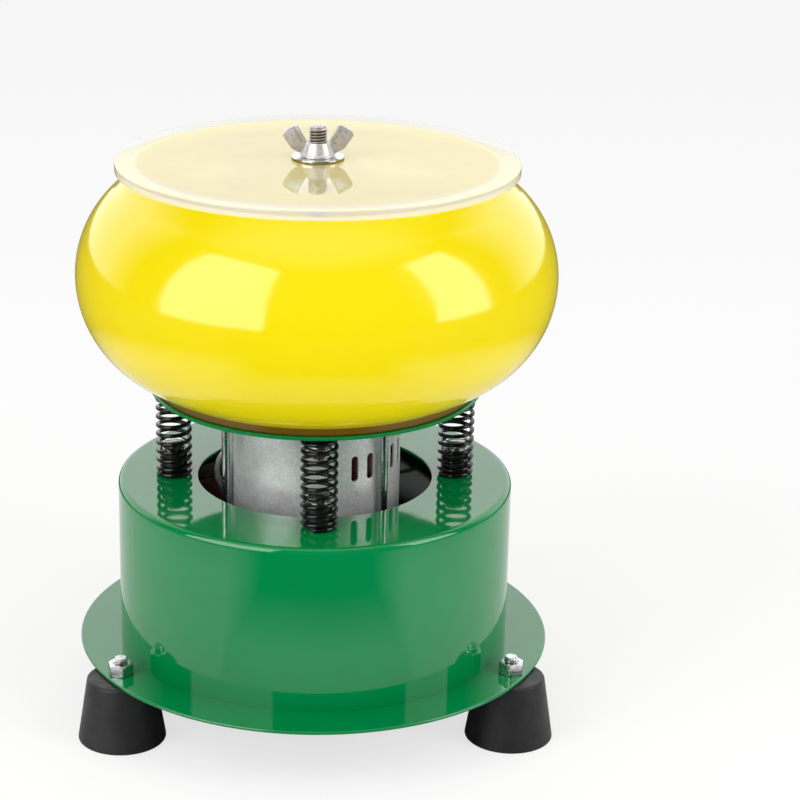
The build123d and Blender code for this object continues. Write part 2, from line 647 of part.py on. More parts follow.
def build_nodes():
    nodes = {
        "base_drum": base_drum(),
        "base_flange": base_flange(),
        "foot_washers": all_feet(foot_washer),
        "foot_bolts": all_feet(foot_bolt),
        "foot_nuts": all_feet(foot_nut),
        "lower_spring_seats": all_springs(lower_seat),
        "lower_seat_washers": all_springs(lower_washer),
        "lower_seat_bolts": all_springs(lower_bolt),
        "lower_seat_nuts": all_springs(lower_nut),
        "upper_spring_seats": all_springs(upper_seat),
        "upper_seat_screws": all_springs(upper_screw),
        "upper_seat_washers": all_springs(upper_washer),
        "upper_seat_nuts": all_springs(upper_nut),
        "support_plate": support_plate(),
        "bowl": bowl(),
        "bowl_washer": bowl_washer(),
        "bowl_nut": bowl_nut(),
        "center_rod": center_rod(),
        "rod_base_nuts": rod_base_nuts(),
        "motor_can": motor_can(),
        "motor_top_bell": motor_top_bell(),
        "motor_bottom_bell": motor_bottom_bell(),
        "motor_tie_rods": group([tie_rod(angle) for angle in TIE_ANGLES]),
        "motor_tie_nuts": group([tie_nut(angle) for angle in TIE_ANGLES]),
        "stator_core": stator_core(),
        "stator_windings": stator_windings(),
        "bearing_outer_rings": group([bearing_outer_ring(z) for z in BEARING_BOTTOMS]),
        "bearing_balls": group([ball for z in BEARING_BOTTOMS for ball in bearing_balls(z)]),
        "bearing_inner_rings": group([bearing_inner_ring(z) for z in BEARING_BOTTOMS]),
        "motor_leads": motor_leads(),
        "motor_shaft": motor_shaft(),
        "rotor_core": rotor_core(),
        "eccentric_weight": eccentric_weight(),
        "weight_set_screw": weight_set_screw(),
        "lid": lid(),
        "lid_washer": lid_washer(),
        "wing_nut": wing_nut(),
        "run_capacitor": run_capacitor(),
        "capacitor_pad": capacitor_pad(),
        "capacitor_leads": capacitor_leads(),
        "cord_grommet": cord_grommet(),
        "cord_splice": cord_splice(),
        "power_cord": power_cord(),
        "power_plug": power_plug(),
        "plug_blades": group([plug_blade(-1), plug_blade(1)]),
    }
    for side, angle in FOOT_ANGLES.items():
        nodes["foot_" + side] = foot(angle)
    for side, angle in SPRING_ANGLES.items():
        nodes["spring_" + side] = coil_spring(angle)
    return nodes


os.makedirs("parts", exist_ok=True)
for name, shape in build_nodes().items():
    export_step(shape, "parts/" + name + ".step")
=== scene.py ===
import json
from math import atan2, ceil, cos, pi, radians, sin, sqrt, tan

import bmesh
import bpy
from mathutils import Matrix, Vector

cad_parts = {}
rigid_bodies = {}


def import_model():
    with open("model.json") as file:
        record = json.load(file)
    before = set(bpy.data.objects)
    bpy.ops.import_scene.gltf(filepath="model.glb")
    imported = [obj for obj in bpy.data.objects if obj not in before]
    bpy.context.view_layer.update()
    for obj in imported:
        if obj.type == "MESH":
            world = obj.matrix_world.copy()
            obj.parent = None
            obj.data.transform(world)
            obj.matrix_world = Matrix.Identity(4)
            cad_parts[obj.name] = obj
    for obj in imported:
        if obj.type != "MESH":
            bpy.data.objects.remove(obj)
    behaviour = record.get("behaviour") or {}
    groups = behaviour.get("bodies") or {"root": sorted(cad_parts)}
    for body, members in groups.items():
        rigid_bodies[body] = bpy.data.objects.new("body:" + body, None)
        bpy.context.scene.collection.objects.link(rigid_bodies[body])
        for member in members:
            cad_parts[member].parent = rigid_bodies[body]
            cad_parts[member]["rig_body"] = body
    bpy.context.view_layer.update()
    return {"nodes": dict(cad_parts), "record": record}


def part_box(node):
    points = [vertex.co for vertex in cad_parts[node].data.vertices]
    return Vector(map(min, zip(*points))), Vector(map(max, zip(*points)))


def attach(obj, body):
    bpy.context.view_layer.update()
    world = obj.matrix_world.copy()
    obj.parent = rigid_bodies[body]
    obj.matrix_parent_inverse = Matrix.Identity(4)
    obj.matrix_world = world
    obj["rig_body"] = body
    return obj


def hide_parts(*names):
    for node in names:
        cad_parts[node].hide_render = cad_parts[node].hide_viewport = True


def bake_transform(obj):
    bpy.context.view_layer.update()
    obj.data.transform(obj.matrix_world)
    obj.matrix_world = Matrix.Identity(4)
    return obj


# The looks of a vibratory rock tumbler around its CAD frame. Shapes are worked out in millimetres in
# the frame's own axes (+Z up, -Y front, origin on the drum's axis at the foot plane).

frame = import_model()
MM = 0.001

SLOT_OF = {part["node"]: part["material_slot"] for part in frame["record"]["subparts"]}


# ---------------------------------------------------------------- where the CAD pieces are
def extent(node):
    """Outer radius, bottom and top in millimetres of a CAD node that is centred on the Z axis."""
    low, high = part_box(node)
    return high.x / MM, low.z / MM, high.z / MM


def heights(node):
    """Bottom and top of a CAD node in millimetres."""
    low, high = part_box(node)
    return low.z / MM, high.z / MM


def centre_of(node):
    low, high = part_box(node)
    return (low + high) / 2 / MM


def place(radius, angle, z=0.0, turn=0.0):
    """Matrix for a piece at a radius and an angle in degrees about Z, turned about its own axis."""
    spot = Matrix.Translation((radius * cos(radians(angle)), radius * sin(radians(angle)), z))
    return spot @ Matrix.Rotation(radians(turn), 4, "Z")


# ---------------------------------------------------------------- shapes
class Shape:
    """Points in millimetres and faces, before they become a mesh."""

    def __init__(self, points, faces):
        self.points = [Vector(p) for p in points]
        self.faces = [tuple(f) for f in faces]

    def moved(self, matrix):
        return Shape([matrix @ p for p in self.points], self.faces)

    def __add__(self, other):
        shift = len(self.points)
        return Shape(self.points + other.points,
                     self.faces + [tuple(i + shift for i in face) for face in other.faces])


def total(shapes):
    shapes = list(shapes)
    result = shapes[0]
    for shape in shapes[1:]:
        result = result + shape
    return result


def soften(corners, steps=5, hold=0.35):
    """A closed outline from corners (x, y, rounding). Extra points beside each rounding keep flats flat."""
    outline = []
    count = len(corners)
    for n, (x, y, rounding) in enumerate(corners):
        here = Vector((x, y))
        if rounding == 0:
            outline.append((x, y))
            continue
        back = Vector(corners[n - 1][:2]) - here
        ahead = Vector(corners[(n + 1) % count][:2]) - here
        half = back.angle(ahead) / 2
        reach = rounding / tan(half)
        back_room, ahead_room = back.length - reach, ahead.length - reach
        back.normalize()
        ahead.normalize()
        centre = here + (back + ahead).normalized() * rounding / sin(half)
        start, end = here + back * reach - centre, here + ahead * reach - centre
        sweep = pi - 2 * half
        outline.append(tuple(here + back * (reach + min(hold, back_room * 0.3))))
        for step in range(steps + 1):
            t = step / steps
            arm = (start * sin((1 - t) * sweep) + end * sin(t * sweep)) / sin(sweep)
            outline.append(tuple(centre + arm))
        outline.append(tuple(here + ahead * (reach + min(hold, ahead_room * 0.3))))
    return outline


def wrap(angles, outlines):
    """A closed skin about Z through one closed outline of (radius, height) at each angle in degrees."""
    count = len(outlines[0])
    points = [(r * cos(radians(a)), r * sin(radians(a)), z)
              for a, outline in zip(angles, outlines) for r, z in outline]
    faces = []
    for turn in range(len(angles)):
        here, there = turn * count, (turn + 1) % len(angles) * count
        for n in range(count):
            after = (n + 1) % count
            faces.append((here + n, there + n, there + after, here + after))
    return Shape(points, faces)


def lathe(outline, steps):
    return wrap([360 * n / steps for n in range(steps)], [outline] * steps)


def washer(inner, outer, base, top, edge=0.25, steps=64):
    return lathe(soften([(inner, base, edge), (outer, base, edge), (outer, top, edge), (inner, top, edge)],
                        steps=3, hold=0.15), steps)


HEX_SIDE_ANGLES = (-30, -29, -27, -23, -15, -7, 0, 7, 15, 23, 27, 29)
HEX_BLUNT = 0.12                  # how far the corners are rounded back
HEX_FLAT_SHARE = 0.475            # radius of the round end face, as a share of the width across flats
HEX_BORE_BEVEL = 0.5


def hexagon(flats, base, top, bore=0.0):
    """A hexagonal nut or bolt head, with the curved corner cuts of a real one at both ends."""
    flat_circle = HEX_FLAT_SHARE * flats
    cut = HEX_BORE_BEVEL if bore else 0.0
    angles, outlines = [], []
    for side in range(6):
        for local in HEX_SIDE_ANGLES:
            reach = min(flats / 2 / cos(radians(local)), flats / sqrt(3) - HEX_BLUNT)
            drop = (reach - flat_circle) * tan(radians(30))
            angles.append(60 * side + local)
            outlines.append([(bore, base + cut), (bore + cut, base), (flat_circle, base),
                             (reach, base + drop), (reach, top - drop), (flat_circle, top),
                             (bore + cut, top), (bore, top - cut)])
    return wrap(angles, outlines)


THREAD_ROWS = ((0.0, 1), (0.16, 1), (0.46, 0), (0.70, 0))     # share of the pitch, crest 1 or root 0
THREAD_DEPTH = 0.56                                            # share of the pitch


def threaded(radius, pitch, base, top, dome=0.0, sides=40):
    """A threaded bar. Its rows of points follow the helix, so crests and roots are clean lines."""
    cut = 0.6 * pitch
    root = radius - THREAD_DEPTH * pitch

    def limit(z):
        """Largest radius at a height: a bevel at the bottom, and a bevel or dome at the top."""
        low = root + (z - base) * (radius - root) / cut
        if dome:
            share = min(1.0, max(0.0, (z - (top - dome)) / dome))
            return min(low, radius * sqrt(max(0.0, 1 - 0.75 * share**2)) - 0.25 * radius * share**4)
        return min(low, root + (top - z) * (radius - root) / cut)

    rows = [(turn + share, crest) for turn in range(-2, ceil((top - base) / pitch) + 2)
            for share, crest in THREAD_ROWS]
    points, faces = [], []
    for side in range(sides):
        angle = 2 * pi * side / sides
        for share, crest in rows:
            raw = base + pitch * (share + side / sides)
            z = min(max(raw, base), top)
            r = min(radius if crest else root, limit(z))
            if raw < base - 0.4 * pitch or raw > top + 0.4 * pitch:
                r = 0.0
            points.append((r * cos(angle), r * sin(angle), z))
    count = len(rows)
    turn_rows = len(THREAD_ROWS)
    for side in range(sides):
        seam = side == sides - 1
        there = 0 if seam else (side + 1) * count
        shift = turn_rows if seam else 0
        for n in range(count - 1 - turn_rows):
            a, b = side * count + n, there + n + shift
            faces.append((a, b, b + 1, a + 1))
    return Shape(points, faces)


def rings_along(points, radius, sides):
    """Rings of points round a path, carried along it without twist."""
    rings = []
    normal = None
    for n, point in enumerate(points):
        ahead = points[min(n + 1, len(points) - 1)] - points[max(n - 1, 0)]
        ahead.normalize()
        if normal is None:
            normal = ahead.orthogonal().normalized()
        normal = (normal - ahead * normal.dot(ahead)).normalized()
        across = ahead.cross(normal)
        rings.append([point + (normal * cos(2 * pi * k / sides) + across * sin(2 * pi * k / sides)) * radius
                      for k in range(sides)])
    return rings


def skin(rings):
    """A tube through rings of points, closed with a flat cap at each end."""
    sides = len(rings[0])
    points = [p for ring in rings for p in ring]
    faces = []
    for n in range(len(rings) - 1):
        for k in range(sides):
            after = (k + 1) % sides
            faces.append((n * sides + k, n * sides + after, (n + 1) * sides + after, (n + 1) * sides + k))
    faces.append(tuple(range(sides - 1, -1, -1)))
    faces.append(tuple(range((len(rings) - 1) * sides, len(rings) * sides)))
    return Shape(points, faces)


def smooth_path(stations, steps):
    """Points on a smooth curve through the stations (Catmull-Rom)."""
    stations = [Vector(s) for s in stations]
    ends = [2 * stations[0] - stations[1], *stations, 2 * stations[-1] - stations[-2]]
    path = []
    for a, b, c, d in zip(ends, ends[1:], ends[2:], ends[3:]):
        for step in range(steps):
            t = step / steps
            path.append(0.5 * (2 * b + (c - a) * t + (2 * a - 5 * b + 4 * c - d) * t**2
                               + (3 * b - a - 3 * c + d) * t**3))
    return path + [stations[-1]]


# ---------------------------------------------------------------- materials
def nodes_for(name):
    material = bpy.data.materials.new(name)
    material.use_nodes = True
    tree = material.node_tree
    tree.nodes.clear()
    return material, tree


def add(tree, kind, inputs=None, **settings):
    """A shader node with its settings and inputs; an input is a value or another node's output."""
    node = tree.nodes.new("ShaderNode" + kind)
    for key, value in settings.items():
        setattr(node, key, value)
    for key, value in (inputs or {}).items():
        if isinstance(value, bpy.types.NodeSocket):
            tree.links.new(value, node.inputs[key])
        else:
            node.inputs[key].default_value = value
    return node


def position(tree, stretch=(1, 1, 1)):
    """Object coordinates, which are the frame's metres, stretched per axis."""
    coordinates = add(tree, "TexCoord")
    return add(tree, "Mapping", {"Vector": coordinates.outputs["Object"], "Scale": stretch}).outputs[0]


EVEN = (1, 1, 1)


def noise(tree, scale, detail=3.0, stretch=EVEN):
    return add(tree, "TexNoise", {"Vector": position(tree, stretch), "Scale": scale, "Detail": detail,
                                  "Roughness": 0.55}).outputs["Fac"]


def spread(tree, value, low, high, out_low=0.0, out_high=1.0):
    """Maps low..high of a value to out_low..out_high, clamped."""
    return add(tree, "MapRange", {"Value": value, "From Min": low, "From Max": high, "To Min": out_low,
                                  "To Max": out_high}).outputs["Result"]


def uneven(tree, scale, detail, low, high):
    """A value that drifts between low and high over the surface."""
    return spread(tree, noise(tree, scale, detail), 0.3, 0.7, low, high)


def maths(tree, operation, *values):
    return add(tree, "Math", dict(enumerate(values)), operation=operation).outputs[0]


def distance_from_axis(tree):
    flat = add(tree, "VectorMath", {0: position(tree), 1: (1, 1, 0)}, operation="MULTIPLY").outputs[0]
    return add(tree, "VectorMath", {0: flat}, operation="LENGTH").outputs["Value"]


def height_above_bench(tree):
    return add(tree, "SeparateXYZ", {"Vector": position(tree)}).outputs["Z"]


def finished(material, tree, shader):
    """Ends a material with its shader node."""
    add(tree, "OutputMaterial", {"Surface": shader.outputs[0]})
    return material


def blend_colour(tree, share, first, second):
    mix = add(tree, "Mix", {"Factor": share}, data_type="RGBA")
    for socket, colour in ((mix.inputs[6], first), (mix.inputs[7], second)):
        if isinstance(colour, bpy.types.NodeSocket):
            tree.links.new(colour, socket)
        else:
            socket.default_value = (*colour, 1.0)
    return mix.outputs[2]


def bump(tree, layers):
    """Bump from (height value, height in millimetres) layers, one on top of the other."""
    normal = None
    for height, size in layers:
        inputs = {"Height": height, "Strength": 1.0, "Distance": size * MM}
        if normal is not None:
            inputs["Normal"] = normal
        normal = add(tree, "Bump", inputs).outputs["Normal"]
    return normal


def surface(name, light, dark, rough, patch, layers, metallic=0.0, colour=None, **shader):
    """A procedural surface: two colours mixed in patches, uneven roughness and layers of bump.
    patch is the patches' noise scale, layers holds (noise scale per metre, height in millimetres,
    stretch), and colour adds to the mixed colour."""
    material, tree = nodes_for(name)
    patches = spread(tree, noise(tree, patch, 4.0), 0.35, 0.65)
    base = blend_colour(tree, patches, light, dark)
    if colour:
        base = colour(tree, base)
    normal = bump(tree, [(noise(tree, scale, 3.0, stretch), size) for scale, size, stretch in layers])
    inputs = {"Base Color": base, "Roughness": uneven(tree, patch * 2.3, 5.0, *rough), "Metallic": metallic,
              "Normal": normal}
    inputs.update({key.replace("_", " "): value for key, value in shader.items()})
    return finished(material, tree, add(tree, "BsdfPrincipled", inputs))


def specks(tree, base, scale, colour, low, high):
    """Small spots of a colour where a fine noise runs high."""
    share = spread(tree, noise(tree, scale, 2.0), low, high)
    return blend_colour(tree, share, base, colour)


DRUM_INSIDE_R = 0.0846            # metres; inside this and under the deck the enamel is coloured dark, as painted shade
DECK_UNDERSIDE_Z = 0.1006
# colour of the painted shade inside the drum
INNER_SHADE = (0.002, 0.022, 0.009)


def shaded_inside(tree, colour):
    """Painted shade: the drum's inner faces under the deck are coloured dark green-black, as the shade inside
    the drum.
    """
    within = maths(tree, "LESS_THAN", distance_from_axis(tree), DRUM_INSIDE_R)
    below = maths(tree, "LESS_THAN", height_above_bench(tree), DECK_UNDERSIDE_Z)
    # painted shade: inner faces below the deck are coloured almost black
    return blend_colour(tree, maths(tree, "MULTIPLY", within, below), colour, INNER_SHADE)


def green_enamel():
    def flecks_and_inner_shade(tree, base):
        # fine flecks in the enamel, and painted shade on the drum's inner faces
        return shaded_inside(tree, specks(tree, base, 2600, (0.0, 0.26, 0.075), 0.70, 0.76))

    return surface("green_enamel", (0.0, 0.215, 0.058), (0.0, 0.200, 0.053), (0.035, 0.075), patch=22,
                   layers=((520, 0.004, EVEN), (60, 0.03, EVEN)), IOR=1.55, colour=flecks_and_inner_shade)


BOWL_FOOT_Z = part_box("bowl")[0].z


FOOT_SHADE_TOP = (0.0031, 0.0038)      # metres above the bowl's foot, where the painted shade thins out
FOOT_SHADE_EDGE = (0.067, 0.068)       # metres from the axis, where it starts


def shaded_foot_ring(tree, colour):
    """Painted shade: the side of the bowl's foot ring, where it stands on the plate under the bowl's
    overhang, is coloured dark brown.
    """
    low = spread(tree, height_above_bench(tree), *(BOWL_FOOT_Z + rise for rise in FOOT_SHADE_TOP), 1.0, 0.0)
    outer = spread(tree, distance_from_axis(tree), *FOOT_SHADE_EDGE)
    # painted shade: the foot ring's side is coloured dark brown
    return blend_colour(tree, maths(tree, "MULTIPLY", low, outer), colour, (0.15, 0.085, 0.005))


def yellow_polyurethane():
    def flecks_and_foot_shade(tree, base):
        # darker specks in the moulding, and painted shade on the foot ring
        return shaded_foot_ring(tree, specks(tree, base, 1500, (0.80, 0.58, 0.01), 0.73, 0.78))

    return surface("yellow_polyurethane", (0.84, 0.680, 0.0015), (0.825, 0.665, 0.0015), (0.09, 0.14),
                   patch=16, layers=((900, 0.004, EVEN), (45, 0.10, EVEN)), IOR=1.5, colour=flecks_and_foot_shade)


LID_SHUT_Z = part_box("lid")[1].z


HAZE_EDGE = (0.0735, 0.0785)      # metres from the axis, where the bowl's yellow light ends
HAZE_LIFT = (0.012, 0.035)        # metres above its shut height, where the lid loses that light
CLEAR_HAZE = (0.97, 0.97, 0.95)
YELLOW_HAZE = (1.0, 0.935, 0.53)


def clear_acrylic():
    """Slightly frosted clear sheet with a hard glossy face. What lies below shows through, blurred.
    While it is shut, the frost over the bowl glows with the yellow light that the bowl throws up."""
    material, tree = nodes_for("clear_acrylic")
    normal = bump(tree, [(noise(tree, 300, 2.0), 0.001), (noise(tree, 30, 2.0), 0.02)])
    blurred = add(tree, "BsdfRefraction", {"Color": (0.99, 0.99, 0.985, 1), "Roughness": 0.25, "IOR": 1.25,
                                           "Normal": normal})
    over_bowl = spread(tree, distance_from_axis(tree), *HAZE_EDGE, 1.0, 0.0)
    in_world = add(tree, "SeparateXYZ", {"Vector": add(tree, "NewGeometry").outputs["Position"]})
    shut = spread(tree, in_world.outputs["Z"], *(LID_SHUT_Z + lift for lift in HAZE_LIFT), 1.0, 0.0)
    haze = blend_colour(tree, maths(tree, "MULTIPLY", over_bowl, shut), CLEAR_HAZE, YELLOW_HAZE)
    lit = add(tree, "BsdfDiffuse", {"Color": haze})
    glow = add(tree, "BsdfTranslucent", {"Color": haze})
    frost = add(tree, "MixShader", {0: 0.2, 1: lit.outputs[0], 2: glow.outputs[0]})
    frosting = uneven(tree, 25, 4.0, 0.56, 0.62)
    body = add(tree, "MixShader", {0: frosting, 1: blurred.outputs[0], 2: frost.outputs[0]})
    polish = add(tree, "BsdfGlossy", {"Roughness": uneven(tree, 60, 4.0, 0.0, 0.02)})
    mirrored = add(tree, "Fresnel", {"IOR": 1.5})
    face = add(tree, "MixShader", {0: mirrored.outputs[0], 1: body.outputs[0], 2: polish.outputs[0]})
    passing = add(tree, "BsdfTransparent", {"Color": (0.98, 0.98, 0.975, 1)})
    seen = add(tree, "LightPath").outputs["Is Camera Ray"]
    shader = add(tree, "MixShader", {0: seen, 1: passing.outputs[0], 2: face.outputs[0]})
    return finished(material, tree, shader)


def black_rubber():
    return surface("black_rubber", (0.006, 0.006, 0.0065), (0.011, 0.011, 0.012), (0.40, 0.54), patch=90,
                   IOR=1.38, layers=((1400, 0.05, EVEN), (260, 0.05, (1, 1, 0.25))),
                   colour=lambda tree, base: specks(tree, base, 700, (0.035, 0.035, 0.036), 0.66, 0.80))


def black_nylon():
    return surface("black_nylon", (0.006, 0.006, 0.007), (0.011, 0.011, 0.012), (0.26, 0.36), patch=200,
                   layers=((900, 0.02, EVEN),))


def zinc_plate():
    return surface("zinc_plate", (0.66, 0.66, 0.67), (0.42, 0.43, 0.44), (0.14, 0.30), patch=420,
                   layers=((700, 0.05, EVEN), (3000, 0.006, EVEN)), metallic=1.0,
                   colour=lambda tree, base: specks(tree, base, 900, (0.42, 0.41, 0.38), 0.60, 0.72))


def cast_zinc():
    return surface("cast_zinc", (0.70, 0.695, 0.68), (0.58, 0.575, 0.56), (0.26, 0.40), patch=380,
                   layers=((900, 0.03, EVEN), (3000, 0.008, EVEN)), metallic=0.45,
                   colour=lambda tree, base: specks(tree, base, 900, (0.34, 0.33, 0.31), 0.60, 0.72))


ROD_TOP_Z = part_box("center_rod")[1].z
ROOT_DARKENING_REACH = (0.0034, 0.0038)   # metres from the axis, from the root of the thread outwards
ROOT_DARKENING_STOP = (0.0026, 0.0020)     # metres below the rod's end, where the darkening stops


def darker_thread_roots(tree, colour):
    """Colours the roots of the rod's thread darker brown, below its domed end."""
    deep = spread(tree, distance_from_axis(tree), *ROOT_DARKENING_REACH, 1.0, 0.0)
    below_end = spread(tree, height_above_bench(tree), *(ROD_TOP_Z - drop for drop in ROOT_DARKENING_STOP), 1.0, 0.0)
    # darker brown towards the roots of the thread
    return blend_colour(tree, maths(tree, "MULTIPLY", deep, below_end), colour, (0.10, 0.065, 0.05))


def rod_steel():
    def specks_and_dark_roots(tree, base):
        return darker_thread_roots(tree, specks(tree, base, 420, (0.30, 0.22, 0.17), 0.60, 0.74))

    return surface("rod_steel", (0.62, 0.60, 0.58), (0.50, 0.47, 0.45), (0.26, 0.38), patch=300,
                   layers=((1500, 0.003, EVEN),), metallic=0.6, colour=specks_and_dark_roots)


def spring_steel():
    return surface("spring_steel", (0.002, 0.002, 0.002), (0.005, 0.005, 0.005), (0.06, 0.14), patch=260,
                   layers=((700, 0.003, EVEN),), IOR=1.4)


def galvanised_sheet():
    """Zinc-dipped sheet: faint crystals, a fine mottle and drawn streaks up and down."""
    material, tree = nodes_for("galvanised_sheet")
    cells = add(tree, "TexVoronoi", {"Vector": position(tree), "Scale": 330.0, "Randomness": 1.0},
                feature="F1").outputs["Color"]
    grey = spread(tree, add(tree, "SeparateColor", {"Color": cells}).outputs["Red"], 0.0, 1.0, 0.25, 0.75)
    crystals = blend_colour(tree, grey, (0.74, 0.74, 0.745), (0.93, 0.93, 0.93))
    mottle = spread(tree, noise(tree, 1500, 3.0), 0.38, 0.62)
    base = blend_colour(tree, maths(tree, "MULTIPLY", mottle, 0.5), crystals, (0.42, 0.42, 0.425))
    normal = bump(tree, [(noise(tree, 1800, 2.0), 0.012), (noise(tree, 260, 3.0, (1, 1, 0.15)), 0.02)])
    principled = add(tree, "BsdfPrincipled", {"Base Color": base, "Metallic": 0.45, "Normal": normal,
                                              "Roughness": uneven(tree, 75, 5.0, 0.27, 0.46)})
    return finished(material, tree, principled)


def cast_alloy():
    return surface("cast_alloy", (0.50, 0.50, 0.51), (0.38, 0.38, 0.39), (0.42, 0.60), patch=180,
                   layers=((800, 0.06, EVEN), (2500, 0.02, EVEN)), metallic=1.0)


def electrical_steel():
    """Stacked sheet steel: thin lines at every lamination, and specks of rust."""
    material, tree = nodes_for("electrical_steel")
    lines = add(tree, "TexWave", {"Vector": position(tree), "Scale": 320.0, "Distortion": 0.4, "Detail": 1.0},
                wave_type="BANDS", bands_direction="Z").outputs["Fac"]
    base = blend_colour(tree, spread(tree, lines, 0.2, 0.9), (0.15, 0.15, 0.16), (0.40, 0.40, 0.41))
    base = specks(tree, base, 500, (0.14, 0.08, 0.05), 0.62, 0.75)
    principled = add(tree, "BsdfPrincipled", {"Base Color": base, "Metallic": 1.0,
                                              "Roughness": uneven(tree, 300, 4.0, 0.32, 0.5),
                                              "Normal": bump(tree, [(lines, 0.06)])})
    return finished(material, tree, principled)


STRANDS = 7500.0                  # radians of the strand pattern per metre
STRAND_WOBBLE = 0.004


def winding_copper():
    """Varnished red-brown magnet wire, laid round the motor in a slightly crossed bundle."""
    material, tree = nodes_for("winding_copper")
    slant = maths(tree, "ADD", distance_from_axis(tree), height_above_bench(tree))
    crossed = maths(tree, "ADD", slant, maths(tree, "MULTIPLY", noise(tree, 120, 2.0), STRAND_WOBBLE))
    share = spread(tree, maths(tree, "SINE", maths(tree, "MULTIPLY", crossed, STRANDS)), -1.0, 1.0)
    base = blend_colour(tree, share, (0.035, 0.004, 0.003), (0.17, 0.020, 0.011))
    principled = add(tree, "BsdfPrincipled", {
        "Base Color": base, "Roughness": 0.28, "Metallic": 0.35, "Coat Weight": 0.8, "Coat Roughness": 0.1,
        "Normal": bump(tree, [(share, 0.25)])})
    return finished(material, tree, principled)


def bearing_steel():
    return surface("bearing_steel", (0.66, 0.66, 0.67), (0.55, 0.55, 0.56), (0.08, 0.18), patch=300,
                   layers=((2400, 0.004, (1, 1, 4)),), metallic=1.0)


def weight_steel():
    return surface("weight_steel", (0.34, 0.33, 0.32), (0.20, 0.19, 0.18), (0.30, 0.52), patch=150,
                   layers=((500, 0.06, EVEN), (2200, 0.02, EVEN)), metallic=1.0,
                   colour=lambda tree, base: specks(tree, base, 380, (0.16, 0.075, 0.035), 0.58, 0.70))


def wire_insulation():
    return surface("wire_insulation", (0.62, 0.62, 0.60), (0.50, 0.50, 0.49), (0.28, 0.40), patch=300,
                   layers=((1500, 0.01, EVEN),), Coat_Weight=0.3)


def capacitor_case():
    return surface("capacitor_case", (0.105, 0.004, 0.004), (0.075, 0.003, 0.003), (0.22, 0.36), patch=120,
                   layers=((900, 0.02, EVEN),))


def foam_pad():
    return surface("foam_pad", (0.045, 0.045, 0.045), (0.025, 0.025, 0.025), (0.85, 0.95), patch=400,
                   layers=((1300, 0.35, EVEN),))


def cord_jacket():
    return surface("cord_jacket", (0.018, 0.018, 0.019), (0.028, 0.028, 0.030), (0.34, 0.48), patch=160,
                   layers=((1600, 0.02, EVEN),))


def plated_brass():
    return surface("plated_brass", (0.76, 0.74, 0.70), (0.64, 0.60, 0.50), (0.16, 0.30), patch=260,
                   layers=((2000, 0.01, (0.2, 1, 1)),), metallic=1.0)


FINISHES = {make.__name__: make() for make in (
    green_enamel, black_rubber, black_nylon, zinc_plate, cast_zinc, rod_steel, spring_steel,
    yellow_polyurethane, clear_acrylic, galvanised_sheet, cast_alloy, electrical_steel, winding_copper,
    bearing_steel, weight_steel, wire_insulation, capacitor_case, foam_pad, cord_jacket, plated_brass)}


# ---------------------------------------------------------------- making a piece
SHARP_ANGLE = radians(38)


def mesh_object(name, shape):
    """A smooth-shaded Blender object from a shape, cleaned of doubled points and empty faces."""
    mesh = bpy.data.meshes.new(name)
    mesh.from_pydata([p * MM for p in shape.points], [], shape.faces)
    work = bmesh.new()
    work.from_mesh(mesh)
    bmesh.ops.remove_doubles(work, verts=work.verts, dist=2e-6)
    bmesh.ops.dissolve_degenerate(work, edges=work.edges, dist=1e-6)
    bmesh.ops.recalc_face_normals(work, faces=work.faces)
    work.to_mesh(mesh)
    work.free()
    mesh.shade_smooth()
    mesh.set_sharp_from_angle(angle=SHARP_ANGLE)
    thing = bpy.data.objects.new(name, mesh)
    bpy.context.scene.collection.objects.link(thing)
    return thing


def cut_away(thing, cutter_shape):
    """Takes a shape out of an object for good."""
    cutter = mesh_object("cutter", cutter_shape)
    modifier = thing.modifiers.new("cut", "BOOLEAN")
    modifier.operation = "DIFFERENCE"
    modifier.solver = "EXACT"
    modifier.object = cutter
    depsgraph = bpy.context.evaluated_depsgraph_get()
    result = bpy.data.meshes.new_from_object(thing.evaluated_get(depsgraph))
    thing.modifiers.clear()
    thing.data = result
    bpy.data.objects.remove(cutter)
    result.set_sharp_from_angle(angle=SHARP_ANGLE)


def dress(thing, node):
    """Gives a new piece the finish of the CAD node it stands for."""
    slot = SLOT_OF[node]
    thing.data.materials.clear()
    thing.data.materials.append(FINISHES["cast_zinc" if node == "wing_nut" else slot])
    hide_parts(node)


def piece(name, shape, node, cutter=None):
    """A piece that stands for a CAD node and rides on its body."""
    thing = mesh_object(name, shape)
    if cutter:
        cut_away(thing, cutter)
    dress(thing, node)
    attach(thing, frame["nodes"][node]["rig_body"])


# ---------------------------------------------------------------- base
DRUM_WALL = 1.5
DRUM_EDGE = 2.4                   # rounding between the drum's side and its deck
DECK_HOLE_R = 50.8
CORD_ANGLE = 62
CORD_HOLE_R = 5.6
FLANGE_OPENING_R = 70.0
FLANGE_BOLT_HOLE_R = 3.2
FOOT_ANGLES = {"left": 210, "right": 330, "rear": 90}
SPRING_ANGLES = {"right": 0, "rear": 90, "left": 180, "front": 270}
SPRING_CIRCLE_R = centre_of("spring_right").x
FOOT_CIRCLE_R = centre_of("foot_rear").y


def plug(radius, base, top, steps):
    """A plain round bar, for cutting a hole."""
    return lathe([(0, base), (radius, base), (radius, top), (0, top)], steps)


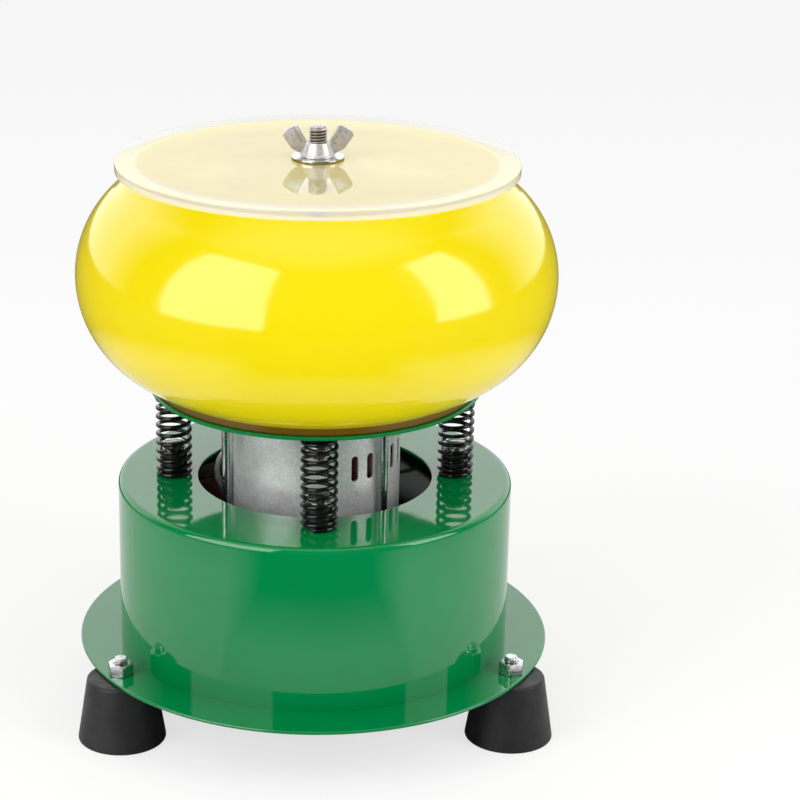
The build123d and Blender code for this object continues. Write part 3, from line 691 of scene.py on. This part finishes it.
def drum():
    radius, base, top = extent("base_drum")
    inner = radius - DRUM_WALL
    side_top = base + 2
    outline = [(inner, base), (radius, base)]
    outline += soften([(radius, side_top, 0), (radius, top, DRUM_EDGE), (DECK_HOLE_R, top, 0.45),
                       (DECK_HOLE_R, top - DRUM_WALL, 0.45), (inner, top - DRUM_WALL, 0.9),
                       (inner, side_top, 0)], steps=8, hold=0.5)
    outward = Matrix.Rotation(radians(CORD_ANGLE), 4, "Z") @ Matrix.Rotation(radians(90), 4, "Y")
    at_grommet = Matrix.Translation(centre_of("cord_grommet")) @ outward
    cord_hole = plug(CORD_HOLE_R, -8, 8, 40).moved(at_grommet)
    piece("base_drum_sheet", lathe(outline, 240), "base_drum", cutter=cord_hole)


def flange():
    radius, base, top = extent("base_flange")
    outline = soften([(FLANGE_OPENING_R, base, 0.4), (radius, base, 0.5), (radius, top, 0.6),
                      (FLANGE_OPENING_R, top, 0.4)], steps=4)
    holes = total(plug(FLANGE_BOLT_HOLE_R, base - 2, top + 2, 24).moved(place(FOOT_CIRCLE_R, angle))
                  for angle in FOOT_ANGLES.values())
    piece("base_flange_sheet", lathe(outline, 240), "base_flange", cutter=holes)


FOOT_TOP_R = 14.45
FOOT_BORE_R = 3.1
FOOT_RECESS_R = 9.0               # hollow under the foot, a step wider than the seat of its washer
WASHER_SEAT_R = 8.2
FOOT_STEP_Z = 8.0
WASHER_SEAT_Z = 13.8


def feet():
    for side, angle in FOOT_ANGLES.items():
        node = "foot_" + side
        low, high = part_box(node)
        height = high.z / MM
        bottom_r = (high.x - low.x) / 2 / MM
        outline = soften([(FOOT_RECESS_R, 0.0, 0.5), (bottom_r, 0.0, 0.7), (FOOT_TOP_R, height, 1.3),
                          (FOOT_BORE_R, height, 0.3), (FOOT_BORE_R, WASHER_SEAT_Z, 0),
                          (WASHER_SEAT_R, WASHER_SEAT_Z, 0), (WASHER_SEAT_R, FOOT_STEP_Z, 0.2),
                          (FOOT_RECESS_R, FOOT_STEP_Z, 0.2)], steps=5)
        piece(node + "_rubber", lathe(outline, 120).moved(place(FOOT_CIRCLE_R, angle)), node)


M6_FLATS, M6_RADIUS, M6_PITCH, M6_NUT_BORE = 10.0, 2.95, 1.0, 2.75
FOOT_TURNS = {"left": 12, "right": -9, "rear": 25}          # how each fastener happened to stop


def foot_fasteners():
    spots = [place(FOOT_CIRCLE_R, angle, 0, FOOT_TURNS[side]) for side, angle in FOOT_ANGLES.items()]

    def at_feet(name, shape, node):
        piece(name, total(shape.moved(spot) for spot in spots), node)

    head_base, bolt_top = heights("foot_bolts")
    washer_base, washer_top = heights("foot_washers")
    at_feet("foot_nuts_m6", hexagon(M6_FLATS, *heights("foot_nuts"), M6_NUT_BORE), "foot_nuts")
    shank = threaded(M6_RADIUS, M6_PITCH, washer_base, bolt_top, sides=32)
    at_feet("foot_bolts_m6", hexagon(M6_FLATS, head_base, washer_base) + shank, "foot_bolts")
    at_feet("foot_washers_m6", washer(3.1, 8.0, washer_base, washer_top, 0.2), "foot_washers")


M5_FLATS, M5_RADIUS, M5_PITCH = 8.0, 2.45, 0.8
BUSH_BORE_R, BUSH_R = 2.6, 5.7
SEAT_WASHER_R = 5.0
SCREW_HEAD_R = 3.95
SPRING_TURNS_SEEN = {"right": 8, "rear": 30, "left": -14, "front": 21}


def seat_fasteners():
    """Bushes, washers, nuts and screws that hold each spring at both ends."""
    spots = [place(SPRING_CIRCLE_R, angle, 0, SPRING_TURNS_SEEN[side])
             for side, angle in SPRING_ANGLES.items()]

    def at_springs(name, shape, node):
        piece(name, total(shape.moved(spot) for spot in spots), node)

    def bush(end, roundings):
        base, top = heights(end + "_spring_seats")
        corners = ((BUSH_BORE_R, base), (BUSH_R, base), (BUSH_R, top), (BUSH_BORE_R, top))
        outline = soften([(*corner, rounding) for corner, rounding in zip(corners, roundings)], steps=4)
        at_springs(end + "_seat_bushes", lathe(outline, 64), end + "_spring_seats")

    def seat_washer(end):
        node = end + "_seat_washers"
        at_springs(node + "_m5", washer(BUSH_BORE_R, SEAT_WASHER_R, *heights(node), 0.2), node)

    def seat_nut(end):
        node = end + "_seat_nuts"
        at_springs(node + "_m5", hexagon(M5_FLATS, *heights(node), M5_RADIUS), node)

    bush("lower", (0, 0.2, 0.7, 0.3))
    seat_washer("lower")
    shank_base, head_top = heights("lower_seat_bolts")
    head_base = heights("lower_seat_washers")[1]
    shank = threaded(M5_RADIUS, M5_PITCH, shank_base, head_base, sides=28)
    at_springs("lower_seat_bolts_m5", hexagon(M5_FLATS, head_base, head_top) + shank, "lower_seat_bolts")
    seat_nut("lower")

    bush("upper", (0.3, 0.7, 0.2, 0))
    seat_washer("upper")
    seat_nut("upper")
    base, top = heights("upper_seat_screws")
    plate_base = heights("support_plate")[0]
    head = lathe([(0, plate_base), (2.5, plate_base), (SCREW_HEAD_R, top - 0.05), (0, top - 0.05)], 48)
    screw = head + threaded(M5_RADIUS, M5_PITCH, base, plate_base, sides=28)
    at_springs("upper_seat_screws_m5", screw, "upper_seat_screws")


# ---------------------------------------------------------------- springs and leads
WIRE_R = 0.9
COIL_R = (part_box("spring_rear")[1].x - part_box("spring_rear")[0].x) / 2 / MM - WIRE_R
COIL_TURNS = 11.0
COIL_STEPS = 40
CLOSED_PITCH = 1.86               # the first and last turns lie on each other
CLOSED_TURNS = 0.55               # at each end, before the coil starts to open
OPENING_TURNS = 0.7
SPRING_PHASES = {"right": 200, "rear": 40, "left": 170, "front": 250}
# Heights, as shares of the spring, where the coil is split into three lengths.
SPRING_CUTS = (0.37, 0.68)


def coil_points(rise):
    """Centre line of a compression spring with closed ends, from height 0 to rise."""
    def openness(turn):
        near_end = min(turn, COIL_TURNS - turn)
        share = min(1.0, max(0.0, (near_end - CLOSED_TURNS) / OPENING_TURNS))
        return share * share * (3 - 2 * share)

    count = int(COIL_TURNS * COIL_STEPS)
    open_share = [openness((n + 0.5) / COIL_STEPS) for n in range(count)]
    extra = (rise - CLOSED_PITCH * COIL_TURNS) / (sum(open_share) / COIL_STEPS)
    points, height = [], 0.0
    for n in range(count + 1):
        angle = 2 * pi * n / COIL_STEPS
        points.append(Vector((COIL_R * cos(angle), COIL_R * sin(angle), height)))
        if n < count:
            height += (CLOSED_PITCH + extra * open_share[n]) / COIL_STEPS
    return points


def bend_in_chain(prefix, rings, node, cuts, low, high):
    """Splits a tube into three lengths where the chain of bodies hands over, and gives each the finish of the
    node.
    cuts are heights; low and high, where the piece is fixed to the first and last body, are not used."""
    marks = [0]
    for cut in cuts:
        marks.append(next(n for n, ring in enumerate(rings) if sum(p.z for p in ring) / len(ring) > cut))
    marks.append(len(rings) - 1)
    for n, label in enumerate(("low", "middle", "high")):
        part = mesh_object(prefix + "_" + label, skin(rings[marks[n]:marks[n + 1] + 1]))
        dress(part, node)
        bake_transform(part)


def springs():
    for side, angle in SPRING_ANGLES.items():
        node = "spring_" + side
        base, top = heights(node)
        turned = place(SPRING_CIRCLE_R, angle, base + WIRE_R, SPRING_PHASES[side])
        centre_line = [turned @ p for p in coil_points(top - base - 2 * WIRE_R)]
        cuts = [base + share * (top - base) for share in SPRING_CUTS]
        bend_in_chain(node + "_coil", rings_along(centre_line, WIRE_R, 14), node, cuts, base + 1, top - 1)


LEAD_R = 0.8
LEAD_ANGLE = 167                  # where they leave the can
LEAD_CUTS = (76.0, 92.0)
LEAD_FIXED = (58.0, 106.0)        # heights where they are held by the base and by the can
LEAD_APART = 1.2                  # from the middle between the two


def leads():
    """Two insulated wires that leave the can on the left and run down to the splice."""
    splice = centre_of("cord_splice")
    along = Vector((cos(radians(CORD_ANGLE)), sin(radians(CORD_ANGLE)), 0))
    across = Vector((-along.y, along.x, 0))
    top = heights("motor_leads")[1] - 1.6
    route = ((33.6, LEAD_ANGLE, top), (38.5, LEAD_ANGLE, top - 1.4), (43.4, LEAD_ANGLE - 1, top - 7.6),
             (45.5, 152, 88), (47.0, 112, 60), (43.0, 82, 53.4))     # radius, angle and height
    into_splice = ((-15.0, 2.4), (-7.0, 1.1))                        # along the cord, and above it
    for number, side in enumerate((-1, 1)):
        stations = []
        for radius, angle, z in route:
            turn = angle + LEAD_APART * side / radius * 180 / pi
            stations.append((radius * cos(radians(turn)), radius * sin(radians(turn)), z))
        for reach, rise in into_splice:
            stations.append(splice + along * reach + across * 0.95 * side + Vector((0, 0, rise)))
        path = smooth_path(stations[::-1], 20)
        bend_in_chain("motor_lead_" + "ab"[number], rings_along(path, LEAD_R, 12), "motor_leads",
                      LEAD_CUTS, *LEAD_FIXED)


# ---------------------------------------------------------------- bowl and lid
TUBE_WALL = 7.0
RING_R = 54.25                    # the circle that the tube's centre runs on
RING_RISE = 48.35                 # the tube's centre above the bowl's foot
FOOT_RING_R = 69.5                # flat ring that stands on the plate
LIP_R = 84.0                      # where the straight lip leaves the tube's outside
LIP_Z = 230.2
LIP_INNER_R = 75.4
LIP_OUTER_R = 77.6
COLUMN_R = 15.6                   # foot of the middle column, inside the cavity
COLUMN_HOLLOW_R = 10.0


def bowl():
    """Moulded ring-shaped bowl with a hollow middle column, a round cavity and a straight lip."""
    outer_r, base, rim_z = extent("bowl")
    tube_r = outer_r - RING_R
    centre_z = base + RING_RISE
    cavity_r = tube_r - TUBE_WALL
    column_top = heights("bowl_washer")[0]

    def arc(radius, start_r, end_r, start_up, end_up, steps):
        """Points on a circle about the tube's centre between two distances from the bowl's axis."""
        def angle_at(reach, up):
            rise = sqrt(radius**2 - (reach - RING_R) ** 2)
            return atan2(rise if up else -rise, reach - RING_R)
        first, last = angle_at(start_r, start_up), angle_at(end_r, end_up)
        if start_up and last > first - 1e-9 and not end_up:
            last -= 2 * pi
        return [(RING_R + radius * cos(first + (last - first) * n / steps),
                 centre_z + radius * sin(first + (last - first) * n / steps)) for n in range(steps + 1)]

    ring_top = centre_z - sqrt(tube_r**2 - (FOOT_RING_R - RING_R) ** 2)
    outline = soften([(44.0, base, 0.6), (FOOT_RING_R, base, 0.6), (FOOT_RING_R, ring_top, 0)], steps=3)[:-1]
    outline += arc(tube_r, FOOT_RING_R + 0.2, LIP_R, False, True, 56)
    outline += soften([(LIP_R, LIP_Z, 0), (LIP_OUTER_R, rim_z, 0.7), (LIP_INNER_R, rim_z, 0.7),
                       (LIP_INNER_R, rim_z - 6, 0)], steps=4)[1:-1]
    cavity = arc(cavity_r, LIP_INNER_R, COLUMN_R, True, False, 60)
    outline += cavity
    cavity_floor = cavity[-1][1]
    column = smooth_path([(COLUMN_R, 0, cavity_floor), (14.45, 0, cavity_floor + 8),
                          (14.25, 0, column_top - 6), (14.2, 0, column_top - 2.4),
                          (13.7, 0, column_top - 0.7), (12.6, 0, column_top)], 4)[1:]
    outline += [(p.x, p.z) for p in column]
    bore = extent("center_rod")[0] + 0.4
    ceiling = column_top - TUBE_WALL
    outline += [(bore, column_top), (bore, ceiling), (COLUMN_HOLLOW_R, ceiling)]
    outline += arc(tube_r, COLUMN_HOLLOW_R, 43.7, False, False, 26)
    piece("bowl_moulding", lathe(outline, 256), "bowl")


RESTING_GAP = 0.03                # keeps loose pieces from sharing a face
LID_HOLE_R = 4.4


def lid():
    radius, base, top = extent("lid")
    base += RESTING_GAP
    outline = soften([(LID_HOLE_R, base, 0.3), (radius, base, 0.5), (radius, top, 0.5),
                      (LID_HOLE_R, top, 0.3)], steps=4)
    piece("lid_disc", lathe(outline, 240), "lid")


M8_PITCH = 1.25
M8_FLATS = 13.0
M8_NUT_BORE = 3.75
M8_WASHER_BORE = 4.3
ROD_DOME = 1.9


def rod_and_nuts():
    radius, base, top = extent("center_rod")
    piece("center_rod_m8", threaded(radius, M8_PITCH, base, top, dome=ROD_DOME, sides=48), "center_rod")
    nut_turn = Matrix.Rotation(radians(17), 4, "Z")
    bowl_nut = hexagon(M8_FLATS, *heights("bowl_nut"), M8_NUT_BORE).moved(nut_turn)
    piece("bowl_nut_m8", bowl_nut, "bowl_nut")
    outer, base, top = extent("bowl_washer")
    piece("bowl_washer_m8", washer(M8_WASHER_BORE, outer, base, top), "bowl_washer")
    base, top = heights("rod_base_nuts")
    plate_base, plate_top = heights("support_plate")
    below = hexagon(M8_FLATS, base, plate_base, M8_NUT_BORE)
    above = hexagon(M8_FLATS, plate_top, top, M8_NUT_BORE)
    piece("rod_base_nuts_m8", below + above, "rod_base_nuts")
    outer, base, top = extent("lid_washer")
    lid_washer = washer(M8_WASHER_BORE, outer, base + RESTING_GAP, top, 0.3, 96)
    piece("lid_washer_m8", lid_washer, "lid_washer")


def slab(outline, half):
    """A flat plate in the XZ plane with rounded edges, from an outline of (x, z) points."""
    corners = [Vector(p) for p in outline]
    centre = sum(corners, Vector((0, 0))) / len(corners)
    layers = []
    for inset, y in ((0.45, half), (0.12, half - 0.12), (0.0, half - 0.4),
                     (0.0, 0.4 - half), (0.12, 0.12 - half), (0.45, -half)):
        ring = [p + (centre - p).normalized() * inset for p in corners]
        layers.append([Vector((p.x, y, p.y)) for p in ring])
    return skin(layers)


HUB_HEIGHT = 6.0
COLLAR_R = 7.3
EAR_HALF = 0.65                   # half the ear's thickness, and that of its thicker rim
RIM_HALF = 1.15


def wing_nut():
    """Conical hub with a collar, and two flat ears that lean outwards."""
    bottom, top = heights("wing_nut")
    base = bottom + RESTING_GAP
    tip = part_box("wing_nut")[1].x / MM
    hub_top = base + HUB_HEIGHT
    outline = soften([(4.0, base, 0), (COLLAR_R, base, 0.25), (COLLAR_R, base + 1.0, 0.3),
                      (6.7, base + 1.35, 0.15), (5.0, hub_top, 0.5), (4.35, hub_top, 0.2),
                      (M8_NUT_BORE, hub_top - 0.6, 0), (M8_NUT_BORE, base + 0.5, 0)], steps=4, hold=0.2)
    ear_outline = soften([(4.3, base + 0.9, 0.2), (7.2, base + 0.9, 0.8), (11.0, base + 3.1, 3.0),
                          (tip + 0.75, top - 3.75, 2.0), (8.9, top + 0.2, 0.9),
                          (4.2, hub_top - 1.0, 1.6)], steps=7, hold=0.2)
    rim_outline = soften([(4.1, hub_top - 1.1, 0.2), (5.3, hub_top - 1.7, 0.2), (9.8, top - 0.8, 0.3),
                          (8.75, top, 0.35)], steps=4, hold=0.15)
    ear = slab(ear_outline, EAR_HALF) + slab(rim_outline, RIM_HALF)
    other = ear.moved(Matrix.Rotation(pi, 4, "Z"))
    piece("wing_nut_m8", lathe(outline, 80) + ear + other, "wing_nut")


# ---------------------------------------------------------------- motor
TIE_ANGLES = (195, 315, 75)
TIE_CIRCLE_R = 40.0
M4_FLATS, M4_NUT_BORE, M4_PITCH = 7.0, 1.6, 0.7
TIE_R = 1.75
TIE_THREAD_R = 1.72
TIE_THREAD_LENGTH = 9.0


def tie_fasteners():
    """Plain rods between the motor's bells, with a thread and a nut at the lower end."""
    spots = [place(TIE_CIRCLE_R, angle, 0, 11 * n) for n, angle in enumerate(TIE_ANGLES)]
    base, top = heights("motor_tie_rods")
    plain_base = base + TIE_THREAD_LENGTH
    plain = soften([(0, plain_base, 0), (TIE_R, plain_base, 0.2), (TIE_R, top, 0), (0, top, 0)], steps=3)
    rod = lathe(plain, 40) + threaded(TIE_THREAD_R, M4_PITCH, base, plain_base + 0.3, sides=24)
    piece("motor_tie_studs", total(rod.moved(spot) for spot in spots), "motor_tie_rods")
    nut = hexagon(M4_FLATS, *heights("motor_tie_nuts"), M4_NUT_BORE)
    piece("motor_tie_nuts_m4", total(nut.moved(spot) for spot in spots), "motor_tie_nuts")


# ---------------------------------------------------------------- build everything
for make in (drum, flange, feet, foot_fasteners, seat_fasteners, springs, leads, bowl, lid, rod_and_nuts,
             wing_nut, tie_fasteners):
    make()

for node, thing in frame["nodes"].items():
    if not thing.hide_render:
        thing.data.materials.clear()
        thing.data.materials.append(FINISHES[SLOT_OF[node]])


# ---------------------------------------------------------------- floor, light and camera
FLOOR_SIZE = 6.0
WHITE = (0.98, 0.98, 0.98)
FLOOR_GLOW = 0.7                  # share of the floor's brightness that it gives off by itself
DARK_WEDGE = (0.48, 0.78)         # radians from straight ahead, the edge of the dark front in reflections
NEAR_PATCH = (0.20, 0.27)         # metres from the axis, where the pale patch in front fades
LIT_PATCH = (0.28, 0.42)          # and where the pale patch at the sides fades
SHADE = (0.085, 0.105)            # and where the shade under the base ends


def floor():
    """Pale floor. Mirror-like surfaces see it as a lit patch round the object, with a dark studio in
    front. From below it is clear, so that the underside can be looked at."""
    material, tree = nodes_for("pale_floor")
    ray = add(tree, "LightPath")
    by_camera, by_mirror = ray.outputs["Is Camera Ray"], ray.outputs["Is Glossy Ray"]
    spot = add(tree, "SeparateXYZ", {"Vector": position(tree)})
    reach = distance_from_axis(tree)
    aside = maths(tree, "ABSOLUTE", spot.outputs["X"])
    azimuth = maths(tree, "ARCTAN2", aside, maths(tree, "MULTIPLY", spot.outputs["Y"], -1.0))
    wedge = spread(tree, azimuth, *DARK_WEDGE)
    front = maths(tree, "MAXIMUM", wedge, spread(tree, reach, *NEAR_PATCH, 0.75, 0.0))
    lit = maths(tree, "MULTIPLY", front, spread(tree, reach, *LIT_PATCH, 1.0, 0.12))
    under = spread(tree, reach, *SHADE)
    reflected = blend_colour(tree, lit, (0.01, 0.01, 0.01), (1.0, 1.0, 1.0))
    reflected = blend_colour(tree, under, (0.02, 0.02, 0.02), reflected)
    bounced = blend_colour(tree, under, (0.03, 0.03, 0.03), WHITE)
    shown = blend_colour(tree, by_mirror, blend_colour(tree, by_camera, bounced, WHITE), reflected)
    diffuse = add(tree, "BsdfDiffuse", {"Color": shown})
    glow = add(tree, "Emission", {"Color": (1.0, 1.0, 1.0, 1.0), "Strength": 1.0})
    share = maths(tree, "MULTIPLY", by_camera, FLOOR_GLOW)
    above = add(tree, "MixShader", {0: share, 1: diffuse.outputs[0], 2: glow.outputs[0]})
    clear = add(tree, "BsdfTransparent")
    from_below = add(tree, "NewGeometry").outputs["Backfacing"]
    one_sided = add(tree, "MixShader", {0: from_below, 1: above.outputs[0], 2: clear.outputs[0]})
    mesh = bpy.data.meshes.new("floor")
    corners = [(x * FLOOR_SIZE, y * FLOOR_SIZE, 0) for x, y in ((-1, -1), (1, -1), (1, 1), (-1, 1))]
    mesh.from_pydata(corners, [], [(0, 1, 2, 3)])
    mesh.materials.append(finished(material, tree, one_sided))
    thing = bpy.data.objects.new("floor", mesh)
    bpy.context.scene.collection.objects.link(thing)


def area_light(name, location, target, size, power, reflected_only=False):
    """A soft light that shines on surfaces, or one that is only seen mirrored in them."""
    light = bpy.data.lights.new(name, "AREA")
    light.shape = "RECTANGLE"
    light.size, light.size_y = size
    light.energy = power
    thing = bpy.data.objects.new(name, light)
    thing.location = location
    thing.rotation_euler = (Vector(target) - Vector(location)).to_track_quat("-Z", "Y").to_euler()
    bpy.context.scene.collection.objects.link(thing)
    thing.visible_diffuse = not reflected_only
    thing.visible_glossy = reflected_only
    thing.visible_camera = False


SKY = 0.68                        # brightness for everything but the camera and mirror-like surfaces


def world():
    """White surroundings, which mirror-like surfaces see brighter towards the back of the studio."""
    surroundings = bpy.data.worlds.new("studio")
    surroundings.use_nodes = True
    tree = surroundings.node_tree
    background = tree.nodes["Background"]
    background.inputs["Color"].default_value = (1.0, 1.0, 1.0, 1.0)
    ray = add(tree, "LightPath")
    direction = add(tree, "SeparateXYZ", {"Vector": add(tree, "TexCoord").outputs["Generated"]})
    back = spread(tree, direction.outputs["Y"], 0.15, 0.50, 0.04, 1.75)
    overhead = spread(tree, direction.outputs["Z"], 0.78, 0.95, 0.0, 1.2)
    difference = maths(tree, "ADD", maths(tree, "MAXIMUM", back, overhead), -SKY)
    mirrored = maths(tree, "MULTIPLY", difference, ray.outputs["Is Glossy Ray"])
    shown = maths(tree, "MULTIPLY", ray.outputs["Is Camera Ray"], 1.0 - SKY)
    strength = maths(tree, "ADD", maths(tree, "ADD", mirrored, shown), SKY)
    tree.links.new(strength, background.inputs["Strength"])
    bpy.context.scene.world = surroundings


CAMERA_DISTANCE = 0.9525
CAMERA_HEIGHT = 0.4722
CAMERA_TURN = -1.7                # degrees round the object from straight in front
CAMERA_PITCH = 20.17
CAMERA_ROLL = 0.55
CAMERA_LENS = 105.6
CAMERA_SHIFT = (0.1059, 0.0374)   # shares of the picture's width


def camera():
    data = bpy.data.cameras.new("camera")
    data.lens = CAMERA_LENS
    data.sensor_width = 36.0
    data.shift_x, data.shift_y = CAMERA_SHIFT
    data.clip_start = 0.05
    thing = bpy.data.objects.new("camera", data)
    thing.matrix_world = (Matrix.Rotation(radians(CAMERA_TURN), 4, "Z")
                          @ Matrix.Translation((0.0, -CAMERA_DISTANCE, CAMERA_HEIGHT))
                          @ Matrix.Rotation(radians(90 - CAMERA_PITCH), 4, "X")
                          @ Matrix.Rotation(radians(CAMERA_ROLL), 4, "Z"))
    bpy.context.scene.collection.objects.link(thing)
    bpy.context.scene.camera = thing


floor()
world()
area_light("left_fill", (-1.1, -0.9, 1.1), (0, 0, 0.12), (0.9, 1.2), 12)
area_light("right_fill", (1.2, -0.8, 1.0), (0, 0, 0.12), (0.7, 1.2), 10.5)
area_light("left_softbox", (-0.92, -0.77, 0.95), (0, 0, 0.95), (1.15, 1.70), 28, reflected_only=True)
area_light("right_softbox", (1.10, -0.46, 0.85), (0, 0, 0.85), (0.62, 1.45), 13, reflected_only=True)
camera()
bpy.context.scene.view_settings.view_transform = "Standard"
